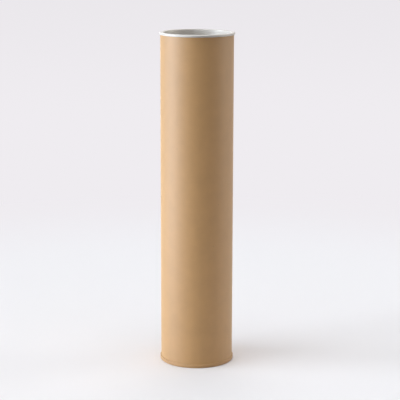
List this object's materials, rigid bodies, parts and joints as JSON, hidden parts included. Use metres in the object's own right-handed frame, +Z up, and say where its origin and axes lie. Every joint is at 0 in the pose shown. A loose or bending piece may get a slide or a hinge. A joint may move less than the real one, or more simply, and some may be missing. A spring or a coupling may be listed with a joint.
{
  "type": "cardboard mailing tube",
  "caption": "Round kraft cardboard mailing tube that stands on a glued board base and is closed at the top by a push-in white plastic end plug.",
  "frame": {"origin": "on the floor, at the centre of the round foot", "axes": "+Z up along the tube's axis, towards the end plug; +Y towards the back, where the outer sheet's lap runs down the tube; +X to the right of someone who faces the front"},
  "size_m": [0.0684, 0.0684, 0.3065],
  "materials": {
    "kraft_paper_tube": "smooth wound kraft paper, matt",
    "kraft_board": "pressed kraft board, matt",
    "white_plastic": "moulded white polyethylene, satin"
  },
  "bodies": {
    "tube_body": {"tube": "kraft_paper_tube", "base_cap": "kraft_board"},
    "plug": {"end_cap": "white_plastic"}
  },
  "joints": [
    {"name": "plug_pull", "type": "slide", "parent": "tube_body", "child": "plug", "axis": [0, 0, 1], "range_m": [0, 0.04]}
  ]
}
